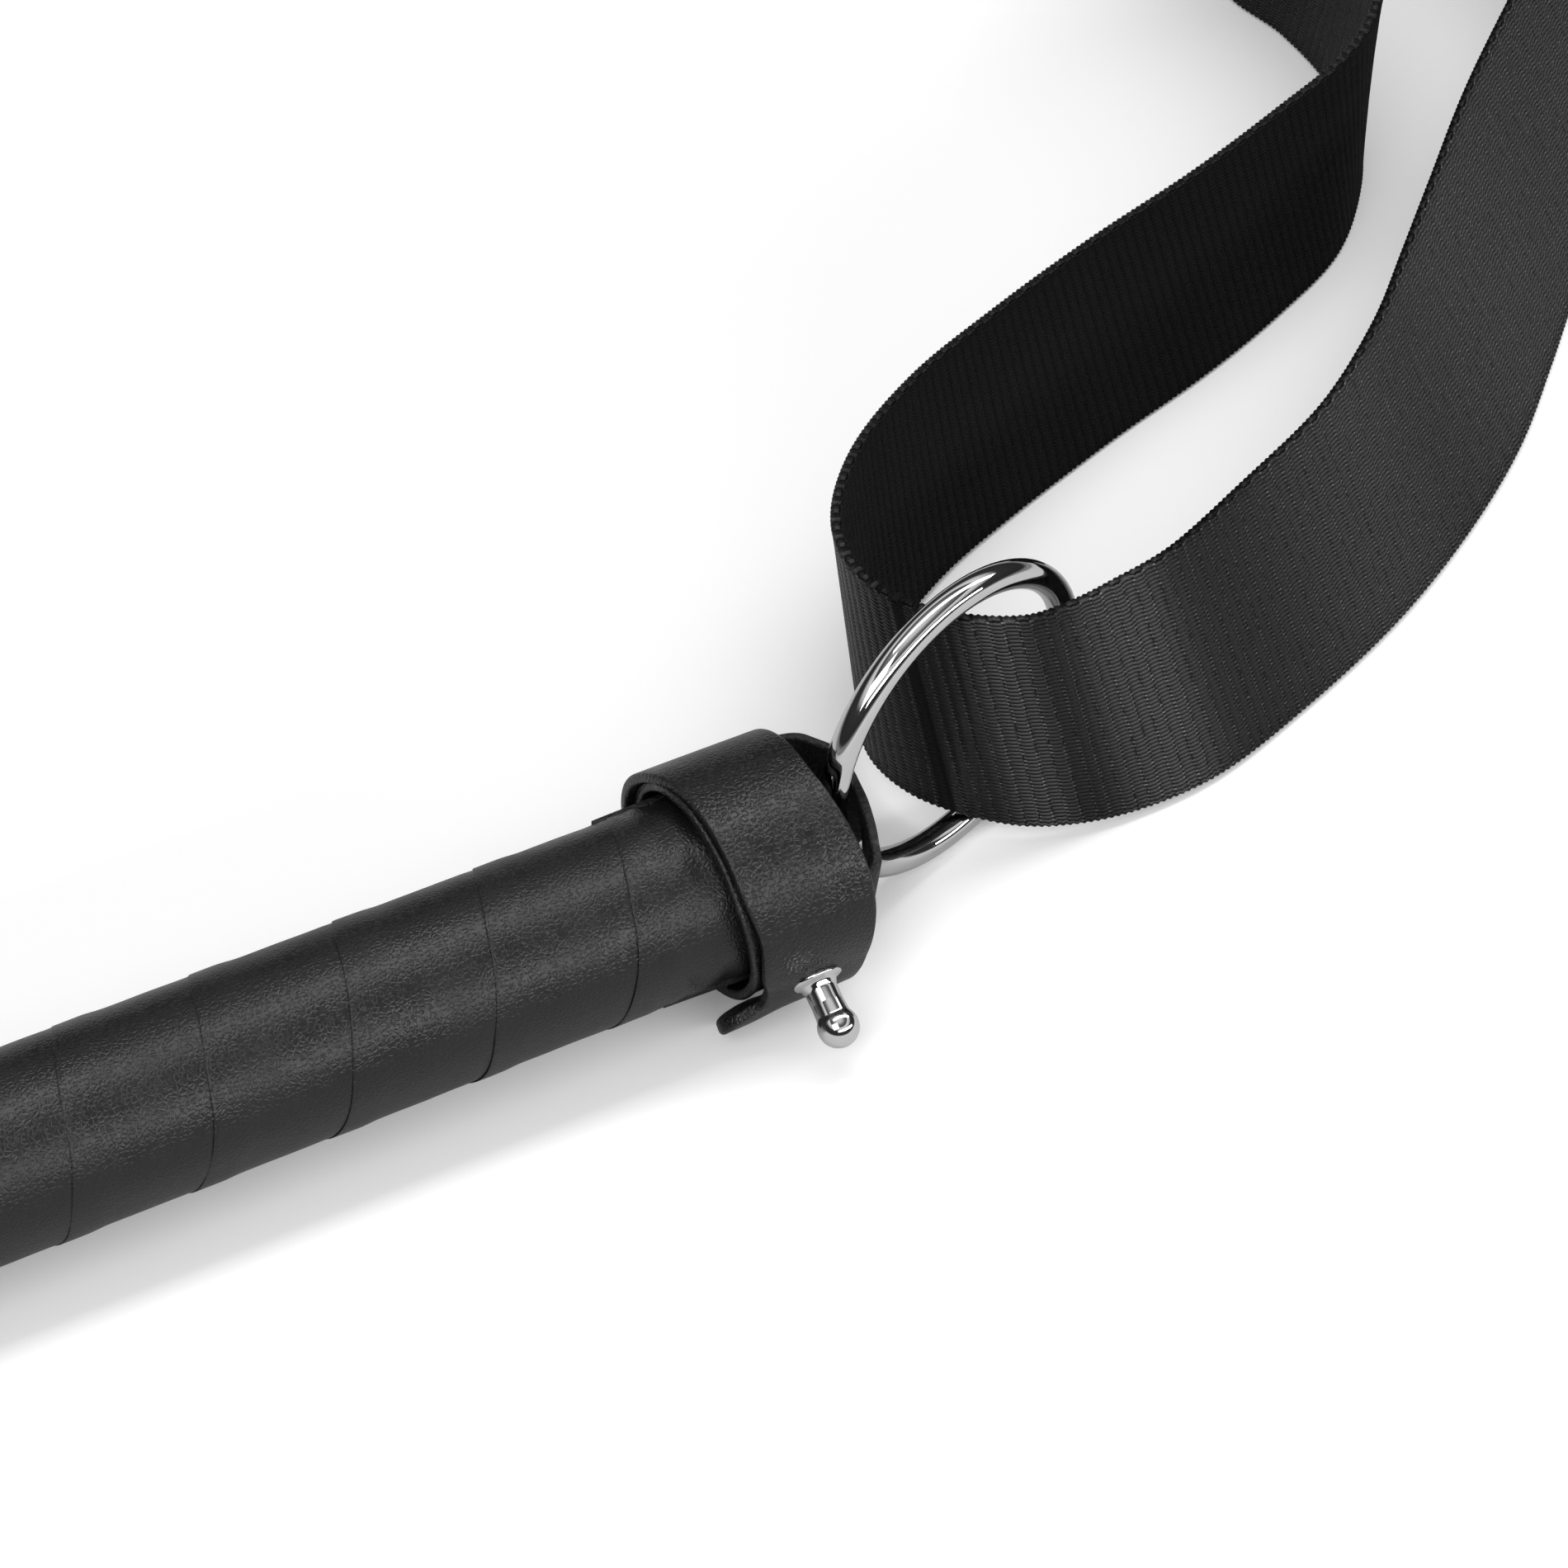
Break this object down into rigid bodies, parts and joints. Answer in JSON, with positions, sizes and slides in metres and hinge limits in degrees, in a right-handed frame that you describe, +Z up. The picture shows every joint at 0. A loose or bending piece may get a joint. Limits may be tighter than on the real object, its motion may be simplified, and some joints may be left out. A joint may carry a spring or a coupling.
{
  "type": "riding crop",
  "caption": "Short riding crop lying flat: leather-taped handle with a studded butt collar, steel ring and webbing wrist loop, slim shaft and folded leather keeper.",
  "frame": {"origin": "bottom centre of the box of the crop as it lies with its wrist strap spread", "axes": "+X along the shaft from the keeper to the butt ring, +Z up; the shaft axis is parallel to X"},
  "size_m": [0.722, 0.1912, 0.048],
  "materials": {
    "tape_leather": "satin fine-grained black leather tape",
    "collar_leather": "satin pebbled black strap leather with dressed edges",
    "keeper_leather": "satin grained black leather",
    "polished_steel": "mirror polished nickel plate",
    "screw_steel": "plain",
    "brass_tacks": "plain",
    "webbing": "tightly woven black nylon with a satin sheen",
    "thread": "waxed black thread",
    "braided_cover": "braided black nylon",
    "nylon_cap": "satin moulded nylon",
    "fibreglass": "pultruded glass fibre",
    "handle_wood": "turned beech"
  },
  "bodies": {
    "crop": {"core_rod": "fibreglass", "tip_cap": "nylon_cap", "shaft_cover": "braided_cover", "handle_dowel": "handle_wood", "grip_tape": "tape_leather", "ring_tab": "collar_leather", "butt_collar": "collar_leather", "collar_stud": "polished_steel", "stud_screw": "screw_steel", "tape_tack_front": "brass_tacks", "tape_tack_butt": "brass_tacks", "tab_tack_near": "brass_tacks", "tab_tack_far": "brass_tacks", "hand_stop": "collar_leather", "handle_cap": "nylon_cap", "keeper_wrap": "keeper_leather", "keeper_whipping": "thread"},
    "ring": {"o_ring": "polished_steel"},
    "strap": {"wrist_strap": "webbing", "strap_stitching": "thread"},
    "keeper": {"keeper_flap": "keeper_leather", "keeper_stitching": "thread"}
  },
  "joints": [
    {"name": "ring_swing", "type": "hinge", "parent": "crop", "child": "ring", "pos_m": [0.1546, -0.07332, 0.01827], "axis": [0, 0, 1], "range_deg": [-45, 45], "deforming": ["ring_tab"]},
    {"name": "strap_swing", "type": "hinge", "parent": "ring", "child": "strap", "pos_m": [0.1767, -0.06606, 0.02402], "axis": [0, 0, 1], "range_deg": [-70, 12]},
    {"name": "keeper_flex", "type": "hinge", "parent": "crop", "child": "keeper", "pos_m": [-0.265, -0.07236, 0.01677], "axis": [0, 1, 0], "range_deg": [-30, 30], "stiffness_Nm_per_rad": 0.15}
  ]
}
